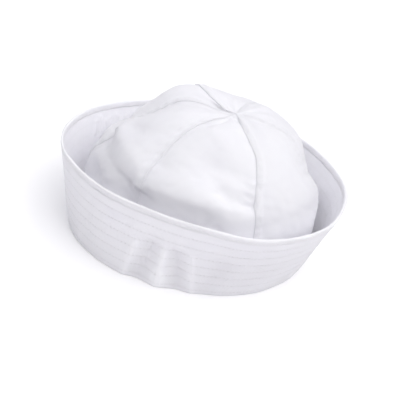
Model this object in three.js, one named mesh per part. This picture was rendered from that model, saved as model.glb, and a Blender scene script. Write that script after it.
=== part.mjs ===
// A sailor cap of white cotton twill: a slack dome of six gores inside a stitched brim that is
// turned up all round. Millimetres, +Z up. +Y is the back of the cap and +X its right side.
// The origin is the centre of the base fold, on the surface that the cap rests on.
// Angles are in degrees round the cap, counter-clockwise seen from above, from +X.
import * as THREE from "three";

// ---- Driving dimensions ----
const BASE = { width: 168, length: 199 }; // oval of the base fold, outside
const BRIM = { slant: 66.5, ply: 2.0, chamfer: 0.7, fold: 2.0, ledge: 1.5 };
const HEM = { height: 5.0, thickness: 3.2 };
const CROWN = { cloth: 1.2, gores: 6, climb: 160, tipX: 7, tipY: -5, tipHole: 1.0 };
const GAP = 0.3; // between neighbouring pieces

// ---- Mesh density ----
const RING_STEPS = 96;
const BRIM_ROWS = 7;
const GORE_COLUMNS = 10;
const GORE_ROWS = 17;

// How far the brim's top edge leans out beyond the base fold: a row for every eighth of the ring.
const FLARE = [
  { at: 0, flare: 21 },
  { at: 45, flare: 18 },
  { at: 90, flare: 14 },
  { at: 135, flare: 23 },
  { at: 180, flare: 24 },
  { at: 225, flare: 23 },
  { at: 270, flare: 15.5 },
  { at: 315, flare: 8.5 },
];

// The dome's plain profile, base to tip: height, and reach as a share of the base oval.
const PROFILE = [
  { share: 0.0, rise: 2.3, reach: 0.97 },
  { share: 0.1, rise: 17, reach: 0.955 },
  { share: 0.2, rise: 33, reach: 0.96 },
  { share: 0.3, rise: 48, reach: 0.965 },
  { share: 0.4, rise: 62, reach: 0.935 },
  { share: 0.5, rise: 75, reach: 0.86 },
  { share: 0.6, rise: 88, reach: 0.76 },
  { share: 0.7, rise: 100, reach: 0.64 },
  { share: 0.8, rise: 110, reach: 0.49 },
  { share: 0.9, rise: 117, reach: 0.28 },
  { share: 1.0, rise: 115, reach: 0.0 },
];

// The crown's folds: each runs from one place on the dome to another, given as [angle, share of the way
// up], and pushes the cloth out or in.
const FOLDS = [
  { name: "hump at the back left", from: [182, 0.82], to: [204, 0.8], halfWidth: 15, push: 5 },
  { name: "slack behind the tip", from: [140, 0.86], to: [158, 0.8], halfWidth: 14, push: -2.5 },
  { name: "valley on the left seam", from: [242, 0.84], to: [238, 0.66], halfWidth: 13, push: -5 },
  { name: "slack behind the left seam", from: [218, 0.7], to: [226, 0.66], halfWidth: 12, push: -3 },
  { name: "left gore ridge", from: [256, 0.44], to: [292, 0.45], halfWidth: 10, push: 4 },
  { name: "left gore hollow", from: [258, 0.32], to: [296, 0.33], halfWidth: 11, push: -5 },
  { name: "pucker at the left seam", from: [298, 0.34], to: [299, 0.43], halfWidth: 6, push: -4 },
  { name: "front gore ridge, left", from: [304, 0.46], to: [325, 0.49], halfWidth: 9, push: 4 },
  { name: "front gore ridge, right", from: [325, 0.49], to: [354, 0.39], halfWidth: 8, push: 4 },
  { name: "front gore hollow", from: [303, 0.36], to: [350, 0.32], halfWidth: 9, push: -3 },
  { name: "front gore dent", from: [334, 0.66], to: [352, 0.62], halfWidth: 11, push: -3 },
];

// Dents that run up from the base fold, through the brim and the foot of the crown.
const DENTS = [
  { name: "left dent", at: 315, height: 16, halfWidth: 8, fade: 18, push: -2.4 },
  { name: "right dent", at: 330, height: 15, halfWidth: 8, fade: 17, push: -2.4 },
];

// ---- Small tools ----
const radians = THREE.MathUtils.degToRad;

// Catmull-Rom value between four equally spaced numbers.
function smoothBetween(a, b, c, d, t) {
  return b + 0.5 * t * (c - a + t * (2 * a - 5 * b + 4 * c - d + t * (3 * (b - c) + d - a)));
}

// Reads a column of a table whose rows are equally spaced round the full circle.
function aroundRing(rows, column, degrees) {
  const place = (((degrees % 360) + 360) % 360) / (360 / rows.length);
  const i = Math.floor(place);
  const value = (k) => rows[(k + rows.length) % rows.length][column];
  return smoothBetween(value(i - 1), value(i), value(i + 1), value(i + 2), place - i);
}

// Reads a column of a table whose rows are equally spaced from 0 to 1.
function alongRows(rows, column, share) {
  const last = rows.length - 1;
  const place = share * last;
  const i = Math.min(Math.floor(place), last - 1);
  const value = (k) => {
    if (k < 0) return 2 * rows[0][column] - rows[1][column];
    if (k > last) return 2 * rows[last][column] - rows[last - 1][column];
    return rows[k][column];
  };
  return smoothBetween(value(i - 1), value(i), value(i + 1), value(i + 2), place - i);
}

// The shorter way round from one angle to another, from -180 to 180.
function turnBetween(from, to) {
  return ((((to - from + 180) % 360) + 360) % 360) - 180;
}

function bump(distance, halfWidth) {
  return Math.exp(-((distance / halfWidth) ** 2));
}

// ---- The base oval ----
const MEAN_RADIUS = (BASE.width + BASE.length) / 4;

// The inward or outward push of the dents at an angle and a height.
function dentPush(degrees, height) {
  let push = 0;
  for (const dent of DENTS) {
    const away = radians(turnBetween(dent.at, degrees)) * MEAN_RADIUS;
    push += dent.push * bump(away, dent.halfWidth) * bump(height - dent.height, dent.fade);
  }
  return push;
}

// Outward direction of the oval at an angle.
function ovalNormal(degrees) {
  const a = radians(degrees);
  return new THREE.Vector3(BASE.length * Math.cos(a), BASE.width * Math.sin(a), 0).normalize();
}

// A point on the oval scaled by reach, at a height, with the dents pressed in.
function ovalPoint(degrees, reach, height) {
  const a = radians(degrees);
  const x = (reach * BASE.width * Math.cos(a)) / 2;
  const y = (reach * BASE.length * Math.sin(a)) / 2;
  return new THREE.Vector3(x, y, height).addScaledVector(ovalNormal(degrees), dentPush(degrees, height));
}

// ---- Closed solids from grids of points ----
function solidGeometry(points, index) {
  const geometry = new THREE.BufferGeometry();
  const positions = points.flatMap((p) => [p.x, p.y, p.z]);
  geometry.setAttribute("position", new THREE.Float32BufferAttribute(positions, 3));
  geometry.setIndex(index);
  geometry.computeVertexNormals();
  return geometry;
}

// A closed ring: sectionAt gives, for an angle, the loop of points cut across the ring there.
function ringSolid(sectionAt) {
  const sections = [];
  for (let i = 0; i < RING_STEPS; i++) sections.push(sectionAt((360 * i) / RING_STEPS));
  const loop = sections[0].length;
  const index = [];
  for (let i = 0; i < RING_STEPS; i++) {
    const here = i * loop;
    const next = ((i + 1) % RING_STEPS) * loop;
    for (let j = 0; j < loop; j++) {
      const k = (j + 1) % loop;
      index.push(here + j, next + j, here + k, here + k, next + j, next + k);
    }
  }
  return solidGeometry(sections.flat(), index);
}

// A cloth patch: columns of outer points, each with an inner point behind it, closed along its four edges.
function patchSolid(outer, inner) {
  const columns = outer.length;
  const rows = outer[0].length;
  const front = (i, j) => i * rows + j;
  const back = (i, j) => (columns + i) * rows + j;
  const index = [];
  const quad = (a, b, c, d) => index.push(a, b, c, a, c, d);
  for (let i = 0; i < columns - 1; i++) {
    for (let j = 0; j < rows - 1; j++) {
      quad(front(i, j), front(i + 1, j), front(i + 1, j + 1), front(i, j + 1));
      quad(back(i, j), back(i, j + 1), back(i + 1, j + 1), back(i + 1, j));
    }
    quad(front(i, 0), back(i, 0), back(i + 1, 0), front(i + 1, 0));
    quad(front(i, rows - 1), front(i + 1, rows - 1), back(i + 1, rows - 1), back(i, rows - 1));
  }
  const last = columns - 1;
  for (let j = 0; j < rows - 1; j++) {
    quad(front(0, j), front(0, j + 1), back(0, j + 1), back(0, j));
    quad(front(last, j), back(last, j), back(last, j + 1), front(last, j + 1));
  }
  return solidGeometry([...outer.flat(), ...inner.flat()], index);
}

// ---- Brim ----
// A point of the brim: climb is the way up its face from the base fold, depth the way in behind that face.
function brimPoint(degrees, climb, depth = 0) {
  const flare = aroundRing(FLARE, "flare", degrees);
  const lean = Math.asin(flare / BRIM.slant);
  const outward = climb * Math.sin(lean) - depth * Math.cos(lean);
  const height = climb * Math.cos(lean) + depth * Math.sin(lean);
  return ovalPoint(degrees, 1, height).addScaledVector(ovalNormal(degrees), outward);
}

// Seen in the section, the brim's wall stands on the outer end of the base fold.
function brimSection(degrees) {
  const top = BRIM.slant - HEM.height - GAP;
  const outer = [];
  const inner = [];
  for (let j = 1; j <= BRIM_ROWS; j++) {
    outer.push(brimPoint(degrees, (top * j) / BRIM_ROWS));
    inner.unshift(brimPoint(degrees, (top * j) / BRIM_ROWS, BRIM.ply));
  }
  const foldPoint = (inward, height) =>
    ovalPoint(degrees, 1, height).addScaledVector(ovalNormal(degrees), -inward);
  const foldWidth = BRIM.ply + GAP + CROWN.cloth + BRIM.ledge;
  return [
    foldPoint(BRIM.chamfer, 0),
    foldPoint(0, BRIM.chamfer),
    ...outer,
    ...inner,
    foldPoint(BRIM.ply, BRIM.fold),
    foldPoint(foldWidth, BRIM.fold),
    foldPoint(foldWidth, 0),
  ];
}

// The hem: a strip of folded cloth along the top of the brim, with a rounded upper edge.
function hemSection(degrees) {
  const proud = (HEM.thickness - BRIM.ply) / 2;
  const radius = HEM.thickness / 2;
  const bottom = BRIM.slant - HEM.height;
  const shoulder = BRIM.slant - radius;
  const section = [brimPoint(degrees, bottom, -proud)];
  for (const angle of [0, 45, 90, 135, 180]) {
    const climb = shoulder + radius * Math.sin(radians(angle));
    section.push(brimPoint(degrees, climb, radius - proud - radius * Math.cos(radians(angle))));
  }
  section.push(brimPoint(degrees, bottom, HEM.thickness - proud));
  return section;
}

// ---- Crown ----
// How far the folds push the cloth at a place on the dome.
function foldPush(degrees, share) {
  const perDegree = radians(1) * MEAN_RADIUS * alongRows(PROFILE, "reach", share);
  let push = 0;
  for (const fold of FOLDS) {
    const [fromAt, fromShare] = fold.from;
    const [toAt, toShare] = fold.to;
    const runX = turnBetween(fromAt, toAt) * perDegree;
    const runY = (toShare - fromShare) * CROWN.climb;
    const x = turnBetween(fromAt, degrees) * perDegree;
    const y = (share - fromShare) * CROWN.climb;
    const along = THREE.MathUtils.clamp((x * runX + y * runY) / (runX ** 2 + runY ** 2), 0, 1);
    push += fold.push * bump(Math.hypot(x - along * runX, y - along * runY), fold.halfWidth);
  }
  return push;
}

// Direction out of a surface that gives a point for each angle and share.
function normalOf(surface, degrees, share) {
  const turn = 1;
  const step = 0.01;
  const up = surface(degrees, Math.min(1 - step, share + step));
  up.sub(surface(degrees, Math.max(0, share - step)));
  const along = surface(degrees + turn, share).sub(surface(degrees - turn, share));
  return along.cross(up).normalize();
}

// The dome without its folds. The tip is off centre, and the upper dome leans after it.
function domePoint(degrees, share) {
  const rise = alongRows(PROFILE, "rise", share);
  const point = ovalPoint(degrees, alongRows(PROFILE, "reach", share), rise);
  point.x += CROWN.tipX * share ** 3;
  point.y += CROWN.tipY * share ** 3;
  return point;
}

// The outer face of the crown: share 0 at the base, 1 at the tip.
function crownPoint(degrees, share) {
  const normal = normalOf(domePoint, degrees, share);
  return domePoint(degrees, share).addScaledVector(normal, foldPush(degrees, share));
}

// One gore: the cloth between two seams, drawn in by half a gap along each seam.
function crownGore(seamDegrees) {
  const span = 360 / CROWN.gores;
  const top = 1 - CROWN.tipHole / CROWN.climb;
  const outer = [];
  const inner = [];
  for (let i = 0; i <= GORE_COLUMNS; i++) {
    outer.push([]);
    inner.push([]);
    for (let j = 0; j <= GORE_ROWS; j++) {
      const share = (top * j) / GORE_ROWS;
      const radius = 0.5 * BASE.width * alongRows(PROFILE, "reach", share);
      const inset = THREE.MathUtils.radToDeg(Math.min(GAP / 2 / radius, radians(span / 4)));
      const degrees = seamDegrees + inset + ((span - 2 * inset) * i) / GORE_COLUMNS;
      const point = crownPoint(degrees, share);
      outer[i].push(point);
      inner[i].push(point.clone().addScaledVector(normalOf(crownPoint, degrees, share), -CROWN.cloth));
    }
  }
  return patchSolid(outer, inner);
}

// ---- Assembly ----
const twill = new THREE.MeshStandardMaterial({ color: 0xf0f0f4, roughness: 0.75, metalness: 0 });
const hemTwill = new THREE.MeshStandardMaterial({ color: 0xf7f7fa, roughness: 0.7, metalness: 0 });

function piece(name, geometry, material) {
  const mesh = new THREE.Mesh(geometry, material);
  mesh.name = name;
  return mesh;
}

const cap = new THREE.Group();
cap.add(piece("brim", ringSolid(brimSection), twill));
cap.add(piece("brim_hem", ringSolid(hemSection), hemTwill));
for (let k = 0; k < CROWN.gores; k++) {
  cap.add(piece(`crown_gore_${k + 1}`, crownGore((360 * k) / CROWN.gores), twill));
}

export default cap;
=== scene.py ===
import math

import bpy
import numpy as np
from mathutils import Matrix, Vector
from mathutils.bvhtree import BVHTree


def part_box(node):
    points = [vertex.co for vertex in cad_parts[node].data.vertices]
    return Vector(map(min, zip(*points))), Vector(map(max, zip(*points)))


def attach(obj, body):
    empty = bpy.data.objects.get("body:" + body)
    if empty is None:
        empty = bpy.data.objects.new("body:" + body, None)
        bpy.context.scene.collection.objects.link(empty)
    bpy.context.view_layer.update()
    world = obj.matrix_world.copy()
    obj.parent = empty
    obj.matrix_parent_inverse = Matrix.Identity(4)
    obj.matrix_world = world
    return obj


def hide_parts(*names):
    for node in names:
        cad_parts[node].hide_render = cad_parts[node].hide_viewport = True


# A sailor cap of white cotton twill: six sewn crown panels inside a tall stitched brim.
# The script works in millimetres and degrees, and meshes are made in metres. Angles run round the
# cap from +X, counter-clockwise seen from above. share is the way up the crown, 0 at its foot and
# 1 where its panels meet. climb is the way up the brim's face, in millimetres.

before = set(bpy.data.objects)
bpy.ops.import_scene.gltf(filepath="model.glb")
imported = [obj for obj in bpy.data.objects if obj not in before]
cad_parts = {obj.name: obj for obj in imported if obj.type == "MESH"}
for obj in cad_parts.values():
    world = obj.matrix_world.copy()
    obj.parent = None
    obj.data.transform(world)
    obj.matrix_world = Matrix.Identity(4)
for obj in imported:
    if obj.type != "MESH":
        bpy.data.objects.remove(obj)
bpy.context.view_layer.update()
MM = 0.001
GORES = sorted(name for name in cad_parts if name.startswith("crown_gore_"))

# ---- Sizes in millimetres ----
CLOTH = 1.0          # thickness of a crown panel
CROWN_CLIMB = 165    # along the cloth from the crown's foot to where its panels meet
FOCUS_HEIGHT = 50    # height of the point that the rays which measure the crown aim at
BRIM = {"slant": 66.5, "ply": 2.0, "ledge": 5.0, "ledge_height": 2.0, "corner": 1.3}
HEM = {"height": 5.0, "thickness": 2.6, "stitch": 62.9}
ROWS = {"first": 4.0, "apart": 8.3, "count": 7}     # the brim's rows of stitching
STITCH = {"length": 2.3, "apart": 3.0, "radius": 0.16, "sides": 5}

# A lap reaches out past its seam and back from it, then fades, and its edge is rounded. The lower
# panel's edge is tucked a little way under. Inside the least radius a lap narrows towards the tip.
LAP = {"out": 2.4, "back": 2.2, "fade": 3.4, "round": 0.7, "tuck": 0.2, "least_radius": 14}

# ---- Mesh density ----
PANEL = {"rows": 136, "lap_columns": 24, "main_columns": 45}
BAND = {"columns": 540, "outer_rows": 88, "inner_rows": 74}
HEM_COLUMNS = 600
STITCH_PATH_POINTS = {"crown": 300, "brim": 1441}

# The crown's seams: the angle at the foot, how far the seam leans round half-way up and wanders
# higher up, which panel's edge lies on top, the one before or after the seam, and how far it stands up.
SEAMS = [
    {"at": 1.2, "lean": 4.2, "wander": -6, "top": "after", "raise": 0.5},
    {"at": 60, "lean": 0, "wander": -10, "top": "before", "raise": 0.35},
    {"at": 120, "lean": 0, "wander": 6, "top": "before", "raise": 0.35},
    {"at": 180, "lean": 0, "wander": 12, "top": "before", "raise": 0.8},
    {"at": 240, "lean": 0, "wander": -17, "top": "before", "raise": 0.35},
    {"at": 297.6, "lean": 0, "wander": -3, "top": "before", "raise": 0.6},
]

# The seams meet a little to one side of the frame's tip: which way they slide, how far as a share of
# the way up, and how far down from the tip the slide reaches.
SLIDE = {"angle": 28, "share": 0.043, "reach": 0.2}

# The crown's folds. A path is a few places, given as [angle, share]. The cloth is pushed out or in
# along it, over one half-width on the path's upper side and another on its lower side.
CROWN_FOLDS = [
    {"name": "front ridge", "path": [[303, 0.53], [320, 0.55], [330, 0.535], [338, 0.50], [347, 0.475]],
     "above": 8, "below": 6, "push": 2.0},
    {"name": "under the ridge", "path": [[305, 0.43], [312, 0.44], [322, 0.45], [332, 0.435], [337, 0.41]],
     "above": 7, "below": 11, "push": -2.4},
    {"name": "front wall, right", "path": [[342, 0.33], [356, 0.33]], "above": 7, "below": 8, "push": 2.0},
    {"name": "hollow over the ridge", "path": [[340, 0.545], [347, 0.51], [358, 0.49]],
     "above": 5, "below": 4.5, "push": -2.4},
    {"name": "bulge by the front seam", "path": [[343, 0.59], [350, 0.575], [357, 0.58]],
     "above": 10, "below": 5, "push": 1.7},
    {"name": "front dent", "path": [[333, 0.66], [343, 0.63], [353, 0.61]],
     "above": 7, "below": 7, "push": -2.2},
    {"name": "front patch", "path": [[326, 0.81], [337, 0.76]], "above": 6, "below": 5, "push": 1.2},
    {"name": "crease from the tip", "path": [[342, 0.92], [330, 0.875], [316, 0.83]],
     "above": 1.3, "below": 3.5, "push": -1.3},
    {"name": "crease by the front seam", "path": [[3, 0.94], [1.5, 0.83]],
     "above": 1.5, "below": 1.7, "push": -1.0},
    {"name": "left ridge", "path": [[246, 0.60], [262, 0.575], [291, 0.545]],
     "above": 9, "below": 7, "push": 2.6},
    {"name": "under the left ridge", "path": [[250, 0.50], [264, 0.475], [280, 0.45], [290, 0.44]],
     "above": 10, "below": 15, "push": -6.5},
    {"name": "sunken far left", "path": [[206, 0.54], [218, 0.53], [228, 0.53]],
     "above": 9, "below": 15, "push": -6.5},
    {"name": "left gore, upper hollow",
     "path": [[259, 0.64], [274, 0.665], [284, 0.70], [292, 0.755], [299, 0.83]],
     "above": 5, "below": 6, "push": -1.5},
    {"name": "mark on the left seam", "path": [[243, 0.70], [247, 0.68]],
     "above": 2.4, "below": 2.4, "push": -1.6},
    {"name": "pucker 1 at the front seam", "path": [[354.5, 0.585], [358, 0.565]],
     "above": 2, "below": 1.6, "push": -1.1},
    {"name": "pucker 2 at the front seam", "path": [[354, 0.54], [358, 0.525]],
     "above": 2, "below": 1.6, "push": -1.3},
    {"name": "pucker 3 at the front seam", "path": [[353.5, 0.495], [358, 0.485]],
     "above": 2.2, "below": 1.8, "push": -1.6},
    {"name": "right wall", "path": [[350, 0.25], [10, 0.25], [36, 0.25]],
     "above": 18, "below": 14, "push": 4},
    {"name": "right side hollow", "path": [[52, 0.58], [66, 0.52], [78, 0.49], [92, 0.47]],
     "above": 16, "below": 15, "push": -6.5},
    {"name": "right gore, upper hollow", "path": [[20, 0.76], [40, 0.70]],
     "above": 8, "below": 8, "push": -0.7},
    {"name": "back right ridge", "path": [[66, 0.52], [92, 0.47]], "above": 9, "below": 5, "push": 1.3},
    {"name": "back right hollow", "path": [[70, 0.42], [106, 0.38]], "above": 6, "below": 9, "push": -1.1},
    {"name": "back gore, high fold", "path": [[126, 0.72], [148, 0.62]], "above": 8, "below": 5, "push": 1.2},
    {"name": "back gore, low fold", "path": [[128, 0.44], [170, 0.48]], "above": 8, "below": 5, "push": 1.5},
    {"name": "back left, low fold", "path": [[186, 0.46], [226, 0.42]], "above": 8, "below": 5, "push": 1.5},
    {"name": "back left, high crease", "path": [[196, 0.66], [216, 0.60]],
     "above": 5, "below": 7, "push": -1.0},
]

# The rest of the crown's relief, as depths and reaches in millimetres.
RELIEF = {
    "puff": 1.5,
    "groove": 0.4, "groove_reach": 2.2,
    "pucker": 0.34, "pucker_apart": 7.4, "pucker_reach": 5.5,
    "gather": 0.42,
    "wrinkle": 0.42, "small_wrinkle": 0.13, "rough": 0.025,
}

# The brim's folds, given as [angle, climb]. Both of its faces follow them. A fold's fourth entry greys the
# outer face in a dent as painted shade, and below zero it keeps a ridge or a dent's edge whiter as a painted
# highlight.
BRIM_FOLDS = [
    {"name": "left dent", "path": [[311.5, 5], [313.5, 16], [316.5, 36]],
     "above": 6.5, "below": 6.5, "push": -2.6, "painted_shade": 0.38},
    {"name": "right dent", "path": [[330.5, 5], [329.5, 16], [327.5, 36]],
     "above": 5.5, "below": 5.5, "push": -2.4, "painted_shade": 0.36},
    {"name": "foot of the ridge between", "path": [[321.5, -2], [321.7, 10]],
     "above": 5, "below": 5, "push": 1.6, "painted_shade": -0.75},
    {"name": "top of the ridge between", "path": [[321.7, 12], [322, 36]],
     "above": 2.8, "below": 2.8, "push": 1.2, "painted_shade": -0.4},
    {"name": "edge of the left dent", "path": [[305.5, 2], [307, 18], [309, 34]],
     "above": 3, "below": 3, "push": 0.8, "painted_shade": -0.25},
    {"name": "edge of the right dent", "path": [[338, 0], [336, 16], [334, 36]],
     "above": 3, "below": 3, "push": 0.8, "painted_shade": -0.25},
    {"name": "soft bend at the front", "path": [[344, 4], [347, 34]],
     "above": 8, "below": 8, "push": -0.8, "painted_shade": 0.15},
    {"name": "soft bend at the left", "path": [[262, 8], [266, 58]], "above": 11, "below": 11, "push": -0.7},
    {"name": "soft bend at the right", "path": [[22, 6], [18, 56]], "above": 12, "below": 12, "push": -0.6},
    # The greyer side has no fold: it is painted shade over the right of the brim's outer face.
    {"name": "greyer side", "path": [[358, 30], [30, 30]],
     "above": 36, "below": 36, "push": 0, "painted_shade": 0.34},
    {"name": "soft bend at the back", "path": [[118, 4], [124, 58]], "above": 11, "below": 11, "push": -0.8},
    {"name": "soft bend at the back left", "path": [[176, 8], [171, 60]],
     "above": 12, "below": 12, "push": 0.8},
]

# How the rows of stitching draw the brim's faces in, with puckers beside them, in millimetres.
QUILTING = {
    "depth": 0.04, "depth_in_dents": 0.28, "reach": 0.9, "pucker": 0.045, "pucker_apart": 3.4,
    "crease": 0.04, "crease_apart": 9.5,
}

# Upright puckers on the brim's inner face, where the turned-up band is drawn together.
INNER_PUCKERS = {
    "first": 189.5, "apart": 2.7, "count": 8, "low": 42, "high": 57, "half_width": 1.3, "push": 0.9,
}


# ---- Measuring the frame ----
def node_tree(names):
    corners = []
    faces = []
    for name in names:
        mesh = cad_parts[name].data
        start = len(corners)
        corners += [v.co / MM for v in mesh.vertices]
        faces += [[start + i for i in p.vertices] for p in mesh.polygons]
    return BVHTree.FromPolygons(corners, faces)


# Where a ray meets the frame on its way in to a target. A ray that slips through the gap between two
# gores is tried again a little to either side.
def cast(tree, target, ray):
    for nudge in (0, 3, -3, 6, -6):
        turned = Matrix.Rotation(math.radians(nudge), 3, "Z") @ Vector(ray)
        start = Vector(target) + 3 * turned    # well outside the cap
        place = tree.ray_cast(start, -turned)[0]
        if place is not None:
            return np.array(place)
    raise ValueError(f"no surface of the frame on the way to {target}")


def unit(vectors):
    return vectors / np.linalg.norm(vectors, axis=-1, keepdims=True)


# The place where all six gores meet: the point that keeps still when it is moved to the mean of the
# points nearest to it on each gore.
def find_tip():
    trees = [node_tree([name]) for name in GORES]
    tip = Vector((0, 0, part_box(GORES[0])[1].z / MM))
    for _ in range(80):
        nearest = [tree.find_nearest(tip)[0] for tree in trees]
        tip = sum(nearest, Vector()) / len(nearest)
    return np.array(tip)


# Half the width and length of the base oval, where the brim meets the surface.
def base_oval():
    corners = np.array([v.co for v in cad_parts["brim"].data.vertices]) / MM
    foot = corners[corners[:, 2] < 1]
    return np.abs(foot[:, 0]).max(), np.abs(foot[:, 1]).max()


HALF_X, HALF_Y = base_oval()
MEAN_RADIUS = (HALF_X + HALF_Y) / 2
TIP = find_tip()
CROWN_FOOT = min(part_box(name)[0].z for name in GORES) / MM
TURNS = 60               # measured places round the cap, each in the middle of a 6 degree step
LEVELS = 26              # measured places up the crown
FOOT_REACH = 0.97        # radius of the crown's foot over that of the base oval
FOOT_MARGIN = 0.6        # the lowest ray meets the crown this far above its foot


# Elevation, seen from the focus, of a share of the way up, which grows faster near the tip, and how
# much of the tip's lean the focus takes.
def sight_line(share):
    foot = math.degrees(math.atan2(CROWN_FOOT + FOOT_MARGIN - FOCUS_HEIGHT, FOOT_REACH * MEAN_RADIUS))
    part = share * (0.7 + 0.3 * share**2)
    return foot + (90 - foot) * part, part**2


def measure_crown():
    tree = node_tree(GORES)
    table = np.zeros((TURNS, LEVELS, 3))
    radius = np.zeros(LEVELS)
    for j in range(LEVELS - 1):
        elevation, lean = sight_line(j / (LEVELS - 1))
        focus = np.array([TIP[0] * lean, TIP[1] * lean, FOCUS_HEIGHT])
        for i in range(TURNS):
            turn = 2 * math.pi * (i + 0.5) / TURNS
            flat = math.cos(math.radians(elevation))
            ray = [HALF_X * math.cos(turn) * flat, HALF_Y * math.sin(turn) * flat,
                   MEAN_RADIUS * math.sin(math.radians(elevation))]
            table[i, j] = cast(tree, focus, ray)
        radius[j] = np.hypot(*(table[:, j, :2] - focus[:2]).T).mean()
    table[:, -1] = TIP
    return table, radius


BRIM_STEP = 5.0      # millimetres of climb between the brim's measured rows


# The brim's outer face, with its straight upper part carried on past the hem's top.
def measure_brim():
    tree = node_tree(["brim"])
    heights = np.linspace(1.0, 0.9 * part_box("brim")[1].z / MM, 13)
    climbs = np.arange(0, BRIM["slant"] + 2 * BRIM_STEP, BRIM_STEP)
    table = np.zeros((TURNS, len(climbs), 3))
    for i in range(TURNS):
        turn = 2 * math.pi * (i + 0.5) / TURNS
        side = np.array([HALF_X * math.cos(turn), HALF_Y * math.sin(turn), 0])
        face = np.array([cast(tree, (0, 0, z), side) for z in heights])
        foot = face[0] - (face[1] - face[0]) * heights[0] / (heights[1] - heights[0])
        face = np.vstack([foot, face])
        along = np.concatenate([[0], np.cumsum(np.linalg.norm(np.diff(face, axis=0), axis=1))])
        slope = (face[-1] - face[-3]) / (along[-1] - along[-3])
        inside = climbs <= along[-1]
        for axis_index in range(3):
            table[i, inside, axis_index] = np.interp(climbs[inside], along, face[:, axis_index])
        table[i, ~inside] = face[-1] + (climbs[~inside] - along[-1])[:, None] * slope
    return table


# ---- Smooth surfaces through the measured points ----
# Weights of a uniform cubic B-spline's four points, for a place between the middle two.
def spline_weights(t):
    return [(1 - t) ** 3 / 6, (3 * t**3 - 6 * t**2 + 4) / 6, (1 + 3 * t + 3 * t**2 - 3 * t**3) / 6, t**3 / 6]


# A function of angle and row that reads a table of points, closed round the cap.
def spline_surface(table):
    before = 2 * table[:, :1] - table[:, 1:2]
    after = 2 * table[:, -1:] - table[:, -2:-1]
    points = np.concatenate([before, table, after], axis=1)
    rows = table.shape[1]

    def surface(degrees, row):
        round_place = degrees / 360 * TURNS - 0.5
        i = np.floor(round_place).astype(int)
        j = np.clip(np.floor(row).astype(int), 0, rows - 2)
        round_weights = spline_weights(round_place - i)
        row_weights = spline_weights(row - j)
        total = 0
        for a in range(4):
            for b in range(4):
                weight = (round_weights[a] * row_weights[b])[..., None]
                total = total + weight * points[(i + a - 1) % TURNS, j + b]
        return total

    return surface


# Points and outward normals of a surface, by small steps round and up.
def with_normals(surface, degrees, row, step):
    turn = 0.5
    up = surface(degrees, row + step) - surface(degrees, row - step)
    along = surface(degrees + turn, row) - surface(degrees - turn, row)
    return surface(degrees, row), unit(np.cross(along, up))


crown_table, crown_radius = measure_crown()
crown_surface = spline_surface(crown_table)
brim_surface = spline_surface(measure_brim())
TOP_SHARE = 1 - 0.15 / CROWN_CLIMB     # the panels stop just short of the tip


def radius_at(share):
    return np.interp(share, np.linspace(0, 1, LEVELS), crown_radius)


# Seam allowances keep their angle, not their width, close to the tip.
def seam_radius(share):
    return np.maximum(radius_at(share), LAP["least_radius"])


# The frame's angle and share of a place on the panels, which slides over near the tip.
def slide(degrees, share):
    off_tip = 1 - share
    turn = np.radians(degrees)
    way = math.radians(SLIDE["angle"])
    push = SLIDE["share"] * np.exp(-((off_tip / SLIDE["reach"]) ** 2))
    x = off_tip * np.cos(turn) + push * math.cos(way)
    y = off_tip * np.sin(turn) + push * math.sin(way)
    return np.degrees(np.arctan2(y, x)), 1 - np.hypot(x, y)


def crown_base(degrees, share):
    degrees, share = slide(degrees, share)
    step = 0.004 * (LEVELS - 1)
    row = np.minimum(share, 1 - 0.0045) * (LEVELS - 1)
    normals = with_normals(crown_surface, degrees, row, step)[1]
    return crown_surface(degrees, share * (LEVELS - 1)), normals


def brim_base(degrees, climb):
    return with_normals(brim_surface, degrees, climb / BRIM_STEP, 0.2)


# ---- Height fields ----
def turn_between(start, degrees):
    return (degrees - start + 180) % 360 - 180


def bump(distance, half_width):
    return np.exp(-((distance / half_width) ** 2))


def smooth_step(low, high, value):
    t = np.clip((value - low) / (high - low), 0, 1)
    return t * t * (3 - 2 * t)


# Smooth noise of unit strength: a seeded sum of waves that cross the cap in all directions.
def make_noise(seed, wavelength, waves=16):
    rng = np.random.default_rng(seed)
    heading = unit(rng.normal(size=(waves, 3)))
    pace = 2 * math.pi / (wavelength * rng.uniform(0.7, 1.5, waves))
    phase = rng.uniform(0, 2 * math.pi, waves)
    vectors = (heading * pace[:, None]).T

    def noise(points):
        return np.cos(points @ vectors + phase).sum(-1) / math.sqrt(waves / 2)

    return noise


broad_noise = make_noise(11, 62)
middle_noise = make_noise(12, 24)
small_noise = make_noise(13, 9)
fine_noise = make_noise(14, 4.2)


# The strength, 0 to 1, of one fold on points given by their angle and height up the cloth.
def fold_strength(fold, degrees, height, radius, row_size):
    distance = np.full(np.shape(degrees + height), 1e6)
    side = 0 * distance
    for start, end in zip(fold["path"], fold["path"][1:]):
        run_x = math.radians(turn_between(start[0], end[0])) * radius
        run_y = (end[1] - start[1]) * row_size
        x = np.radians(turn_between(start[0], degrees)) * radius
        y = height - start[1] * row_size
        length = np.hypot(run_x, run_y)
        along = np.clip((x * run_x + y * run_y) / length**2, 0, 1)
        away = np.hypot(x - along * run_x, y - along * run_y)
        side = np.where(away < distance, (run_x * y - run_y * x) / length, side)
        distance = np.minimum(distance, away)
    half_width = fold["below"] + (fold["above"] - fold["below"]) * smooth_step(-2, 2, side)
    return bump(distance, half_width)


# The angle of a seam on its way up. Number 6 is the first seam again, a full turn on.
def seam_angle(number, share):
    seam = SEAMS[number % len(SEAMS)]
    turns = number // len(SEAMS)
    lean = seam["lean"] * smooth_step(0.45, 0.75, share) + seam["wander"] * smooth_step(0.7, 0.9, share)
    return seam["at"] + 360 * turns + lean


# The number of the seam nearest to each place, and the angle from that seam to the place.
def nearest_seam(degrees, share):
    from_seams = np.array([turn_between(seam_angle(k, share), degrees) for k in range(len(SEAMS))])
    number = np.abs(from_seams).argmin(axis=0)
    return number, np.take_along_axis(from_seams, number[None], axis=0)[0]


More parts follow.
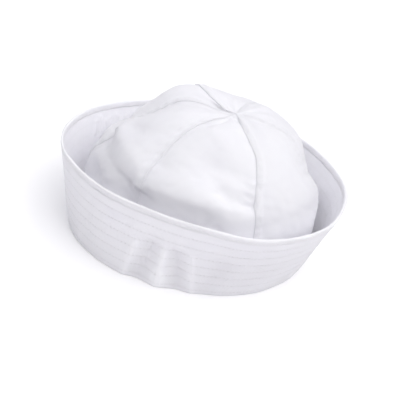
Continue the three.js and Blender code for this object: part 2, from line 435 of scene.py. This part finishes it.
# The folds keep to the frame's places, not to the panels', where the panels slide over near the tip.
def crown_folds(degrees, share):
    degrees, share = slide(degrees, share)
    height = share * CROWN_CLIMB
    radius = radius_at(share)
    relief = 0
    for fold in CROWN_FOLDS:
        relief = relief + fold["push"] * fold_strength(fold, degrees, height, radius, CROWN_CLIMB)
    return relief


# Short puckers across a seam, uneven in pace and strength.
def seam_puckers(number, from_seam, height, points):
    rhythm = 2 * math.pi * height / RELIEF["pucker_apart"] + 2.1 * number + 1.3 * middle_noise(points)
    strength = RELIEF["pucker"] * (0.65 + 0.35 * np.clip(broad_noise(points + 40), -1, 1))
    return strength * np.cos(rhythm) * bump(from_seam, RELIEF["pucker_reach"])


# The crown's relief: panels that puff between their seams, a groove beside each lap, folds, puckers
# along the seams, gathers round the tip and wrinkles.
def crown_relief(degrees, share, points):
    number, past_seam = nearest_seam(degrees, share)
    from_seam = np.radians(past_seam) * radius_at(share)
    off_tip = smooth_step(1.0, 0.86, share)
    half_panel = 180 / len(SEAMS)
    puff = np.sin(math.pi / 2 * np.minimum(np.abs(past_seam) / half_panel, 1)) ** 0.8 - 0.6
    relief = RELIEF["puff"] * puff * off_tip * smooth_step(0, 0.3, share)
    lap_side = np.array([1 if seam["top"] == "before" else -1 for seam in SEAMS])[number]
    beside_lap = from_seam - lap_side * (LAP["out"] + 0.8)
    relief = relief - RELIEF["groove"] * bump(beside_lap, RELIEF["groove_reach"]) * off_tip
    relief = relief + crown_folds(degrees, share)
    relief = relief + seam_puckers(number, from_seam, share * CROWN_CLIMB, points) * off_tip
    gathers = np.cos(np.radians(degrees) * 9 + 1.5) + 0.7 * np.cos(np.radians(degrees) * 14)
    relief = relief + RELIEF["gather"] * gathers * bump(share - 0.9, 0.07)
    slack = 0.55 + 0.45 * smooth_step(0.75, 0.45, share)
    wrinkles = RELIEF["wrinkle"] * middle_noise(points) + RELIEF["small_wrinkle"] * small_noise(points)
    return relief + slack * wrinkles + RELIEF["rough"] * fine_noise(points)


# The climbs of the brim's rows of stitching.
def row_climbs():
    return [ROWS["first"] + ROWS["apart"] * k for k in range(ROWS["count"])]


# What both faces of the brim share: soft waves and the folds.
def brim_waves(degrees, climb, points):
    waves = 0.45 * broad_noise(points * [1, 1, 0.5]) + 0.12 * middle_noise(points)
    for fold in BRIM_FOLDS:
        waves = waves + fold["push"] * fold_strength(fold, degrees, climb, MEAN_RADIUS, 1)
    return waves


# How far the stitching draws one face of the brim in, with small puckers beside each row. It shows
# most in the brim's two dents, where the plies are crumpled.
def brim_quilting(degrees, climb, points):
    around = np.radians(degrees) * MEAN_RADIUS
    in_dents = bump(turn_between(314.5, degrees), 5) + bump(turn_between(329, degrees), 4.5)
    depth = QUILTING["depth"] + QUILTING["depth_in_dents"] * in_dents * smooth_step(36, 22, climb)
    drawn = 0.03 * fine_noise(points) + 0.12 * bump(climb - BRIM["slant"] + HEM["height"], 1.0)
    for k, row in enumerate(row_climbs()):
        away = climb - row
        pucker_phase = 2 * math.pi * around / QUILTING["pucker_apart"] + 1.2 * small_noise(points)
        pucker = np.cos(pucker_phase + 2.3 * k)
        drawn = drawn + depth * bump(away, QUILTING["reach"])
        drawn = drawn - QUILTING["pucker"] * pucker * bump(away, 2.4)
        crease_phase = 2 * math.pi * around / QUILTING["crease_apart"] + 1.4 * middle_noise(points)
        crease = np.cos(crease_phase + 1.1 * k)
        drawn = drawn - QUILTING["crease"] * crease * bump(away - 1.5, 3.5)
    return drawn


def inner_puckers(degrees, climb):
    total = 0
    for k in range(INNER_PUCKERS["count"]):
        at = INNER_PUCKERS["first"] + INNER_PUCKERS["apart"] * k
        low = INNER_PUCKERS["low"] + 3 * (k % 2)
        high = INNER_PUCKERS["high"] - 2 * (k % 3)
        fold = {"path": [[at + 1.2, low], [at, high]]}
        fold["above"] = fold["below"] = INNER_PUCKERS["half_width"]
        total = total + INNER_PUCKERS["push"] * fold_strength(fold, degrees, climb, MEAN_RADIUS, 1)
    return total


# ---- Meshes ----
# A closed mesh from rings of points. The rings close on themselves, or have a strip over each end.
# uv holds millimetres along and across the cloth, with one more column, and one more ring if closed.
def make_piece(name, rings, uv, painted_shade_and_wear, closed, material):
    count, loop = rings.shape[:2]
    steps = count if closed else count - 1
    i, j = np.meshgrid(np.arange(steps), np.arange(loop), indexing="ij")
    i, j = i.ravel(), j.ravel()

    def vertex(ring, place):
        return (ring % count) * loop + place % loop

    quads = np.stack([vertex(i, j), vertex(i + 1, j), vertex(i + 1, j + 1), vertex(i, j + 1)], 1)
    corner_uv = np.stack([uv[i, j], uv[i + 1, j], uv[i + 1, j + 1], uv[i, j + 1]], 1)
    if not closed:
        k = np.arange(loop // 2 - 1)
        for ring, order in ((0, 1), (count - 1, -1)):
            places = [k, k + 1, loop - 2 - k, loop - 1 - k][::order]
            quads = np.vstack([quads, np.stack([vertex(ring, p) for p in places], 1)])
            corner_uv = np.vstack([corner_uv, np.stack([uv[ring, p] for p in places], 1)])
    corners = rings.reshape(-1, 3)
    if signed_volume(corners, quads) < 0:
        quads = quads[:, ::-1]
        corner_uv = corner_uv[:, ::-1]
    return finish_mesh(name, corners, quads, corner_uv.reshape(-1, 2), painted_shade_and_wear.ravel(), material)


def signed_volume(corners, quads):
    a, b, c, d = (corners[quads[:, k]] for k in range(4))
    return (np.cross(b - a, c - a) * a).sum() + (np.cross(c - a, d - a) * a).sum()


def finish_mesh(name, corners, faces, corner_uv, painted_shade_and_wear, material):
    mesh = bpy.data.meshes.new(name)
    mesh.from_pydata((corners * MM).tolist(), [], faces.tolist())
    mesh.polygons.foreach_set("use_smooth", np.ones(len(faces), bool))
    mesh.uv_layers.new(name="cloth").data.foreach_set("uv", (corner_uv * MM).ravel())
    mesh.attributes.new("painted_shade_and_wear", "FLOAT", "POINT").data.foreach_set("value", painted_shade_and_wear.astype(np.float32))
    mesh.materials.append(material)
    piece = bpy.data.objects.new(name, mesh)
    bpy.context.scene.collection.objects.link(piece)
    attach(piece, "root")
    return piece


# ---- Materials ----
# The grey that the painted shade, and the thin line along the crown's lap edges, mix the cloth towards.
PAINTED_SHADE_AND_WEAR_GREY = (0.70, 0.69, 0.725)


# A node with the values given: its own properties by name, and its sockets with _ for a space.
def add_node(material, kind, **values):
    node = material.node_tree.nodes.new(kind)
    for key, value in values.items():
        if hasattr(node, key):
            setattr(node, key, value)
        else:
            node.inputs[key.replace("_", " ")].default_value = value
    return node


# A sum, product or other operation on two values, each a number or another node's output.
def math_node(material, operation, first, second):
    node = add_node(material, "ShaderNodeMath", operation=operation)
    for socket, value in zip(node.inputs, (first, second)):
        if isinstance(value, (int, float)):
            socket.default_value = value
        else:
            material.node_tree.links.new(value, socket)
    return node.outputs[0]


# The relief of the weave: diagonal ribs, single threads across them and fuzz.
def weave_relief(material, place, rib, rib_depth):
    link = material.node_tree.links.new
    axes = add_node(material, "ShaderNodeSeparateXYZ")
    link(place.outputs["UV"], axes.inputs[0])
    across, up = axes.outputs[0], axes.outputs[1]
    wobble = add_node(material, "ShaderNodeTexNoise", Scale=900.0, Detail=1.0)
    link(place.outputs["UV"], wobble.inputs["Vector"])
    turns = 2 * math.pi / (rib * MM)
    diagonal = math_node(material, "MULTIPLY", math_node(material, "ADD", across, up), turns)
    uneven = math_node(material, "MULTIPLY_ADD", wobble.outputs["Fac"], 2.2)
    link(diagonal, uneven.node.inputs[2])
    ribs = math_node(material, "SINE", uneven, 0.0)
    threads = math_node(material, "SINE", math_node(material, "MULTIPLY", up, turns * 1.9), 0.0)
    weave = math_node(material, "ADD", ribs, math_node(material, "MULTIPLY", threads, 0.35))
    fuzz = add_node(material, "ShaderNodeTexNoise", Scale=420.0, Detail=4.0, Roughness=0.65)
    link(place.outputs["Object"], fuzz.inputs["Vector"])
    height = math_node(material, "ADD", weave, math_node(material, "MULTIPLY", fuzz.outputs["Fac"], 1.6))
    relief = add_node(material, "ShaderNodeBump", Strength=0.55, Distance=rib_depth * MM)
    link(height, relief.inputs["Height"])
    return relief.outputs["Normal"], fuzz.outputs["Fac"]


# Cloudy whites between a light and a shade, greyed where the mesh's attribute says: painted shade on the
# brim, its threads and the hem, and a thin grey line along the crown's lap edges.
def cloth_colour(material, place, light, shade):
    link = material.node_tree.links.new
    clouds = add_node(material, "ShaderNodeTexNoise", Scale=26.0, Detail=5.0, Roughness=0.55)
    link(place.outputs["Object"], clouds.inputs["Vector"])
    cloth = add_node(material, "ShaderNodeMix", data_type="RGBA")
    cloth.inputs["A"].default_value = (*shade, 1)
    cloth.inputs["B"].default_value = (*light, 1)
    spread = add_node(material, "ShaderNodeMapRange", From_Min=0.3, From_Max=0.62)
    link(clouds.outputs["Fac"], spread.inputs["Value"])
    link(spread.outputs["Result"], cloth.inputs["Factor"])
    shade_and_wear_mix = add_node(material, "ShaderNodeMix", data_type="RGBA")
    link(cloth.outputs["Result"], shade_and_wear_mix.inputs["A"])
    shade_and_wear_mix.inputs["B"].default_value = (*PAINTED_SHADE_AND_WEAR_GREY, 1)
    painted_shade_and_wear = add_node(material, "ShaderNodeAttribute", attribute_name="painted_shade_and_wear")
    patchy = math_node(material, "ADD", math_node(material, "MULTIPLY", clouds.outputs["Fac"], 0.5), 0.6)
    amount = math_node(material, "MULTIPLY", painted_shade_and_wear.outputs["Fac"], patchy)
    link(amount, shade_and_wear_mix.inputs["Factor"])
    return shade_and_wear_mix.outputs["Result"]


# White cotton. rib is the width of a rib of the weave and rib_depth its depth, in millimetres.
def twill(name, light, shade, rib, rib_depth, roughness, sheen):
    material = bpy.data.materials.new(name)
    material.use_nodes = True
    link = material.node_tree.links.new
    shader = material.node_tree.nodes["Principled BSDF"]
    shader.inputs["Sheen Weight"].default_value = sheen
    shader.inputs["Sheen Roughness"].default_value = 0.45
    shader.inputs["Specular IOR Level"].default_value = 0.25
    shader.inputs["Subsurface Weight"].default_value = 0.35
    shader.inputs["Subsurface Scale"].default_value = 0.003
    shader.inputs["Subsurface Radius"].default_value = (1.0, 0.97, 1.0)
    place = add_node(material, "ShaderNodeTexCoord")
    normal, fuzz = weave_relief(material, place, rib, rib_depth)
    link(normal, shader.inputs["Normal"])
    link(cloth_colour(material, place, light, shade), shader.inputs["Base Color"])
    gloss = add_node(material, "ShaderNodeMapRange", To_Min=roughness - 0.06, To_Max=roughness + 0.08)
    link(fuzz, gloss.inputs["Value"])
    link(gloss.outputs["Result"], shader.inputs["Roughness"])
    return material


crown_twill = twill("crown_twill", (0.948, 0.943, 0.98), (0.912, 0.906, 0.955), 0.9, 0.10, 0.74, 0.30)
brim_twill = twill("brim_twill", (0.95, 0.945, 0.98), (0.915, 0.91, 0.955), 0.9, 0.10, 0.76, 0.25)
hem_twill = twill("hem_twill", (0.96, 0.956, 0.975), (0.93, 0.925, 0.95), 0.9, 0.10, 0.72, 0.30)
thread = twill("thread", (0.96, 0.96, 0.97), (0.93, 0.93, 0.95), 0.5, 0.05, 0.55, 0.15)


# ---- Crown ----
# How far a panel's outer face is raised beside a seam where its edge lies on top, by the distance
# inside the seam: a flat folded strip that laps over the other panel.
def lap_height(inside, raised):
    edge = np.clip((LAP["out"] + inside) / LAP["round"], 0, 1)
    rounded = np.sqrt(1 - (1 - edge) ** 2)
    flat = smooth_step(LAP["back"] + LAP["fade"], LAP["back"], inside)
    return raised * flat * (0.35 + 0.65 * rounded)


# How far a seam's upper edge stands up at a share of the way: less close to the tip.
def raise_at(seam, share):
    return seam["raise"] * (1 - 0.42 * smooth_step(0.92, 0.98, share))


# Height of that panel's inner face, which stays just above the other panel up to the seam.
def lap_underside(inside):
    edge = np.clip((LAP["out"] + inside) / LAP["round"], 0, 1)
    return np.where(inside < 0.3, 0.06 - 0.03 * edge, -CLOTH)


def crown_outer(degrees, share, raised):
    points, normals = crown_base(degrees, share)
    height = crown_relief(degrees, share, points) + raised
    return points + normals * height[..., None], normals


# The grid of a panel from one seam to the next, finer beside its seams: angles, shares and how far
# inside each of its two seams a place is.
def panel_grid(number, outs):
    share = np.linspace(0, TOP_SHARE, PANEL["rows"])[:, None]
    radius = seam_radius(share)
    first, last = seam_angle(number - 1, share), seam_angle(number, share)
    wide = LAP["back"] + LAP["fade"]
    columns = PANEL["lap_columns"] + 1
    start = first + np.degrees(np.linspace(-outs[0], wide, columns)[None, :-1] / radius)
    end = last - np.degrees(np.linspace(wide, -outs[1], columns)[None, 1:] / radius)
    margin = np.degrees(wide / radius)
    main_part = np.linspace(0, 1, PANEL["main_columns"])[None, :]
    main = first + margin + (last - first - 2 * margin) * main_part
    degrees = np.concatenate([start, main, end], axis=1)
    insides = [np.radians(degrees - first) * radius, np.radians(last - degrees) * radius]
    return degrees, share * np.ones_like(degrees), insides, first


def crown_panel(number):
    seams = [SEAMS[number - 1], SEAMS[number % len(SEAMS)]]
    on_top = [seams[0]["top"] == "after", seams[1]["top"] == "before"]
    outs = [LAP["out"] if top else LAP["tuck"] for top in on_top]
    degrees, share, insides, first = panel_grid(number, outs)
    points, normals = crown_base(degrees, share)
    relief = crown_relief(degrees, share, points)
    raised = 0 * relief
    under = 0 * relief - CLOTH
    grey_lines = 0 * relief
    for seam, top, inside in zip(seams, on_top, insides):
        if top:
            raised = raised + lap_height(inside, raise_at(seam, share))
            under = np.maximum(under, lap_underside(inside))
            # A thin grey line along the lap's folded edge.
            grey_lines = grey_lines + 0.4 * bump(inside + LAP["out"], 0.5)
    outer = points + normals * (relief + raised)[..., None]
    inner = points + normals * (relief + under)[..., None]
    rings = np.concatenate([outer, inner[:, ::-1]], axis=1)

    around = np.radians(degrees - first - 30) * radius_at(share)
    flat = np.stack([around, share * CROWN_CLIMB], -1)
    uv = np.concatenate([flat, flat[:, ::-1], flat[:, :1]], axis=1)
    painted_shade_and_wear = np.concatenate([grey_lines, 0 * grey_lines], axis=1)
    piece = make_piece(f"crown_panel_{number}", rings, uv, painted_shade_and_wear, False, crown_twill)
    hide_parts(f"crown_gore_{number}")


# ---- Stitches ----
# One stitch along +X, +Z out of the cloth: rings of a bent thread whose ends go into the cloth. Each
# ring has its place as a share of the length, and its lift and girth as shares of the radius.
STITCH_RINGS = [
    {"along": -0.5, "lift": -1.2, "girth": 0.5},
    {"along": -0.34, "lift": -0.1, "girth": 1.0},
    {"along": 0.0, "lift": 0.2, "girth": 1.1},
    {"along": 0.34, "lift": -0.1, "girth": 1.0},
    {"along": 0.5, "lift": -1.2, "girth": 0.5},
]


def stitch_template():
    sides = STITCH["sides"]
    corners = []
    for ring in STITCH_RINGS:
        for k in range(sides):
            turn = 2 * math.pi * k / sides
            y = STITCH["radius"] * ring["girth"] * math.cos(turn)
            z = STITCH["radius"] * (ring["girth"] * math.sin(turn) + ring["lift"])
            corners.append((ring["along"] * STITCH["length"], y, z))
    faces = []
    for number in range(len(STITCH_RINGS) - 1):
        for k in range(sides):
            a = number * sides + k
            b = number * sides + (k + 1) % sides
            faces.append((a, b, b + sides, a + sides))
    return np.array(corners), np.array(faces)


# The rows of an array at given distances along a path.
def read_along(rows, along, at):
    return np.stack([np.interp(at, along, rows[:, k]) for k in range(3)], 1)


# Stitches along each path, a pair of arrays of points and outward directions.
def stitches(name, paths, painted_shade_and_wear):
    template, template_faces = stitch_template()
    corners = []
    faces = []
    total = 0
    for points, normals in paths:
        along = np.concatenate([[0], np.cumsum(np.linalg.norm(np.diff(points, axis=0), axis=1))])
        count = int(along[-1] // STITCH["apart"])
        centres = (np.arange(count) + 0.5) * along[-1] / count
        half = STITCH["length"] / 2
        back = read_along(points, along, centres - half)
        front = read_along(points, along, centres + half)
        middle = (back + front) / 2
        x = unit(front - back)
        z = read_along(normals, along, centres)
        z = unit(z - x * (x * z).sum(1, keepdims=True))
        y = np.cross(z, x)
        axes = np.stack([x, y, z], 1)
        placed = middle[:, None] + np.einsum("vk,nkc->nvc", template, axes)
        corners.append(placed.reshape(-1, 3))
        shift = total + np.arange(count)[:, None, None] * len(template)
        faces.append((template_faces[None] + shift).reshape(-1, 4))
        total += count * len(template)
    corners = np.concatenate(corners)
    faces = np.concatenate(faces)
    uv = corners[faces.ravel()][:, :2]
    return finish_mesh(name, corners, faces, uv, np.full(len(corners), painted_shade_and_wear), thread)


# Two rows beside each seam, on the panel that lies on top: one near its edge, one near the strip's back.
def crown_stitch_paths():
    paths = []
    sunk = 0.06
    share = np.linspace(0.02, 0.985, STITCH_PATH_POINTS["crown"])
    for number, seam in enumerate(SEAMS):
        way = 1 if seam["top"] == "after" else -1
        for inside in (0.9 - LAP["out"], LAP["back"] - 0.4):
            degrees = seam_angle(number, share) + way * np.degrees(inside / seam_radius(share))
            raised = lap_height(np.full_like(share, inside), raise_at(seam, share)) - sunk
            paths.append(crown_outer(degrees, share, raised))
    return paths


# ---- Brim ----
def brim_face(degrees, climb):
    points, normals = brim_base(degrees, climb)
    out = brim_waves(degrees, climb, points) - brim_quilting(degrees, climb, points)
    return points + normals * out[..., None], normals


def brim_back(degrees, climb):
    points, normals = brim_base(degrees, climb)
    out = brim_waves(degrees, climb, points) - BRIM["ply"] + brim_quilting(degrees + 1.3, climb, points)
    out = out - inner_puckers(degrees, climb)
    return points + normals * out[..., None], -normals


def ring_degrees(count):
    return np.linspace(0, 360, count, endpoint=False)[:, None]


# Rings of the rounded lower corner, and of the ledge that the crown's foot stands on.
def brim_foot(degrees):
    edge, normals = brim_face(degrees, np.full_like(degrees, BRIM["corner"]))
    out = unit(normals * [1, 1, 0])
    corner = []
    for angle in np.linspace(0, math.pi / 2, 5)[1:]:
        inward = BRIM["corner"] * (1 - math.cos(angle))
        point = edge - out * inward
        point[..., 2] = edge[..., 2] - edge[..., 2] * math.sin(angle)
        corner.append(point)
    ledge = edge - out * BRIM["ledge"]
    low, high = ledge.copy(), ledge.copy()
    low[..., 2] = 0
    high[..., 2] = BRIM["ledge_height"]
    step = edge - out * (BRIM["ply"] + 0.2)
    step[..., 2] = BRIM["ledge_height"]
    return np.concatenate(corner, axis=1), np.concatenate([low, high, step], axis=1)


# The band is a closed ring: its lower corner, outer face, inner face and ledge, with the top hidden
# in the hem. Its outer face is greyed all over with painted shade, more in the valleys along the rows of
# stitching and in the dents, and its lower corner more again.
def brim():
    degrees = ring_degrees(BAND["columns"])
    into_hem = 0.15
    top = BRIM["slant"] - HEM["height"] + into_hem
    climb = np.linspace(BRIM["corner"], top, BAND["outer_rows"])[None, :]
    inner_climb = np.linspace(top, BRIM["ledge_height"] + 1.5, BAND["inner_rows"])[None, :]
    outer = brim_face(degrees * np.ones_like(climb), climb * np.ones_like(degrees))[0]
    inner = brim_back(degrees * np.ones_like(inner_climb), inner_climb * np.ones_like(degrees))[0]
    corner, ledge = brim_foot(degrees)
    rings = np.concatenate([corner[:, ::-1], outer, inner, ledge[:, ::-1]], axis=1)
    # Painted shade in the valleys along the rows of stitching, on both faces, and over the lower corner.
    grey_lines = sum(bump(climb - row, QUILTING["reach"]) for row in row_climbs())
    painted_shade_rows_inner = sum(bump(inner_climb - row, QUILTING["reach"]) for row in row_climbs())
    corner_painted_shade = np.full(corner.shape[1], 0.6)
    ledge_painted_shade = np.zeros(ledge.shape[1])
    parts = [corner_painted_shade, 0.42 + 0.06 * grey_lines[0], 0.06 * painted_shade_rows_inner[0], ledge_painted_shade]
    painted_shade_and_wear = np.ones((BAND["columns"], 1)) * np.concatenate(parts)
    # Painted shade in the dents and painted highlights on the ridges, from the folds.
    for fold in BRIM_FOLDS:
        painted_shading = fold.get("painted_shade", 0) * fold_strength(fold, degrees, climb, MEAN_RADIUS, 1)
        painted_shade_and_wear[:, len(corner_painted_shade):len(corner_painted_shade) + BAND["outer_rows"]] += painted_shading
    piece = make_piece("brim_band", rings, loop_uv(rings), painted_shade_and_wear, True, brim_twill)
    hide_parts("brim")


# Millimetres round and across a closed ring, for the weave.
def loop_uv(rings):
    count, loop = rings.shape[:2]
    across = np.linalg.norm(np.diff(rings[0], axis=0, append=rings[0, :1]), axis=1)
    across = np.concatenate([[0], np.cumsum(across)])
    around = np.linspace(0, 2 * math.pi * MEAN_RADIUS, count + 1)
    return np.stack(np.meshgrid(around, across, indexing="ij"), -1)


# The hem: a strip folded over the brim's upper edge, with a round rim and a joint at one place. Its
# section is a list of climbs, each with how far out it is, from 1 on the outer face to -1 on the inner.
def hem():
    degrees = ring_degrees(HEM_COLUMNS)
    half = HEM["thickness"] / 2
    shoulder = BRIM["slant"] - half
    low = BRIM["slant"] - HEM["height"]
    lower_edge = [(low, 0.35), (low + 0.15, 0.75), (low + 0.6, 0.98)]
    face = [(climb, 1.0) for climb in np.linspace(low + 1.2, shoulder, 7)]
    rim_turns = np.linspace(0, math.pi, 13)[1:-1]
    rim = [(shoulder + half * math.sin(turn), math.cos(turn)) for turn in rim_turns]
    back = [(climb, -out) for climb, out in reversed(lower_edge + face)]
    section = lower_edge + face + rim + back
    rings = []
    for climb, out in section:
        climbs = np.full_like(degrees, climb)
        points, normals = brim_base(degrees, climbs)
        rings.append(points + normals * hem_offset(degrees, climbs, out, points)[..., None])
    rings = np.concatenate(rings, axis=1)
    facing = np.array([out for _, out in section])
    # Painted shade greys the hem's faces, the outer one most, and leaves the crest of its rim whiter, a
    # painted highlight.
    painted_shading = 0.12 + 0.5 * smooth_step(0.2, 0.8, facing) + 0.15 * smooth_step(0.2, 0.8, -facing)
    painted_shade_and_wear = np.ones((HEM_COLUMNS, 1)) * painted_shading
    piece = make_piece("hem_strip", rings, loop_uv(rings), painted_shade_and_wear, True, hem_twill)
    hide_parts("brim_hem")


# Height of the hem's faces over the brim's outer face. out is as in its section.
def hem_offset(degrees, climb, out, points):
    around = np.radians(degrees) * MEAN_RADIUS
    plump = 1 + 0.10 * middle_noise(points) + 0.04 * small_noise(points)
    pinch = 0.12 * bump(climb - HEM["stitch"], 0.9)
    pucker = 0.10 * np.cos(2 * math.pi * around / 4.3 + 1.5 * small_noise(points))
    joint = 0.35 * bump(np.radians(turn_between(342, degrees)) * MEAN_RADIUS, 3.0)
    depth = HEM["thickness"] / 2 * plump + joint
    depth = depth - (pinch + pucker * bump(climb - HEM["stitch"], 2.5))
    return brim_waves(degrees, climb, points) - BRIM["ply"] / 2 + out * depth


def brim_stitch_paths(face):
    degrees = np.linspace(0, 360, STITCH_PATH_POINTS["brim"])
    return [face(degrees, np.full_like(degrees, row)) for row in row_climbs()]


def hem_stitch_paths():
    degrees = np.linspace(0, 360, STITCH_PATH_POINTS["brim"])
    climb = np.full_like(degrees, HEM["stitch"])
    points, normals = brim_base(degrees, climb)
    paths = []
    for out in (1, -1):
        offset = hem_offset(degrees, climb, out, points)
        paths.append((points + normals * offset[:, None], normals * out))
    return paths


for panel_number in range(1, len(SEAMS) + 1):
    crown_panel(panel_number)
brim()
hem()
# The threads are greyed as the faces they lie on: painted shade, most on the brim's outer face, then on the
# hem.
stitches("crown_stitches", crown_stitch_paths(), 0.0)
stitches("brim_stitches_outside", brim_stitch_paths(brim_face), 0.7)
stitches("brim_stitches_inside", brim_stitch_paths(brim_back), 0.1)
stitches("hem_stitches", hem_stitch_paths(), 0.4)


# ---- Stage ----
# A pale floor that gives off a little light of its own, so that it comes out white.
def floor_material():
    material = bpy.data.materials.new("floor")
    material.use_nodes = True
    shader = material.node_tree.nodes["Principled BSDF"]
    shader.inputs["Base Color"].default_value = (0.96, 0.96, 0.96, 1)
    shader.inputs["Roughness"].default_value = 0.9
    shader.inputs["Specular IOR Level"].default_value = 0.0
    shader.inputs["Emission Color"].default_value = (1, 1, 1, 1)
    shader.inputs["Emission Strength"].default_value = 0.08
    return material


def make_floor():
    reach = 12    # metres each way
    mesh = bpy.data.meshes.new("floor")
    corners = [(-reach, -reach, 0), (reach, -reach, 0), (reach, reach, 0), (-reach, reach, 0)]
    mesh.from_pydata(corners, [], [(0, 1, 2, 3)])
    mesh.materials.append(floor_material())
    floor = bpy.data.objects.new("floor", mesh)
    bpy.context.scene.collection.objects.link(floor)


# The camera stands at a distance from the pivot and looks at the aim, both in metres. Its roll leans
# the picture of the cap to the right.
VIEW = {"azimuth": 55.7, "elevation": 27.5, "roll": 16.3, "distance": 1.0, "lens": 116.2}
PIVOT = Vector((0, 0, 0.06))
AIM = Vector((0.010, -0.006, 0.038))


# The way to a place seen from the cap: azimuth 0 is its front, and 90 its right side.
def direction(azimuth, elevation):
    az, el = math.radians(azimuth), math.radians(elevation)
    return Vector((math.sin(az) * math.cos(el), -math.cos(az) * math.cos(el), math.sin(el)))


def make_camera():
    data = bpy.data.cameras.new("camera")
    data.lens = VIEW["lens"]
    data.sensor_width = 36
    camera = bpy.data.objects.new("camera", data)
    place = PIVOT + direction(VIEW["azimuth"], VIEW["elevation"]) * VIEW["distance"]
    turn = (AIM - place).to_track_quat("-Z", "Y").to_matrix().to_4x4()
    roll = Matrix.Rotation(math.radians(VIEW["roll"]), 4, "Z")
    camera.matrix_world = Matrix.Translation(place) @ turn @ roll
    bpy.context.scene.collection.objects.link(camera)
    bpy.context.scene.camera = camera


# Distant lights as wide as large softboxes, 70 degrees across, each from its own side.
LIGHT_WIDTH = 70
LIGHTS = [
    {"name": "overhead", "azimuth": 0, "elevation": 90, "strength": 0.45, "colour": (0.98, 0.98, 1.0)},
    {"name": "front_left", "azimuth": 55, "elevation": 45, "strength": 0.70, "colour": (0.985, 0.98, 1.0)},
    {"name": "front_right", "azimuth": 110, "elevation": 58, "strength": 1.14, "colour": (1.0, 0.99, 0.985)},
    {"name": "low_left", "azimuth": 25, "elevation": 20, "strength": 0.09, "colour": (0.99, 0.985, 1.0)},
    {"name": "back_right", "azimuth": 180, "elevation": 45, "strength": 0.54, "colour": (0.97, 0.965, 1.0)},
    {"name": "back_left", "azimuth": 270, "elevation": 45, "strength": 0.70, "colour": (0.95, 0.945, 1.0)},
]
SKY = {"colour": (0.94, 0.935, 1.0), "strength": 0.25}


def soft_light(row):
    data = bpy.data.lights.new(row["name"], "SUN")
    data.angle = math.radians(LIGHT_WIDTH)
    data.energy = row["strength"]
    data.color = row["colour"]
    light = bpy.data.objects.new(row["name"], data)
    away = -direction(row["azimuth"], row["elevation"])
    light.matrix_world = away.to_track_quat("-Z", "Y").to_matrix().to_4x4()
    bpy.context.scene.collection.objects.link(light)


def make_light():
    world = bpy.data.worlds.new("studio")
    world.use_nodes = True
    sky = world.node_tree.nodes["Background"]
    sky.inputs["Color"].default_value = (*SKY["colour"], 1)
    sky.inputs["Strength"].default_value = SKY["strength"]
    bpy.context.scene.world = world
    for row in LIGHTS:
        soft_light(row)
    bpy.context.scene.view_settings.view_transform = "Standard"


make_floor()
make_camera()
make_light()
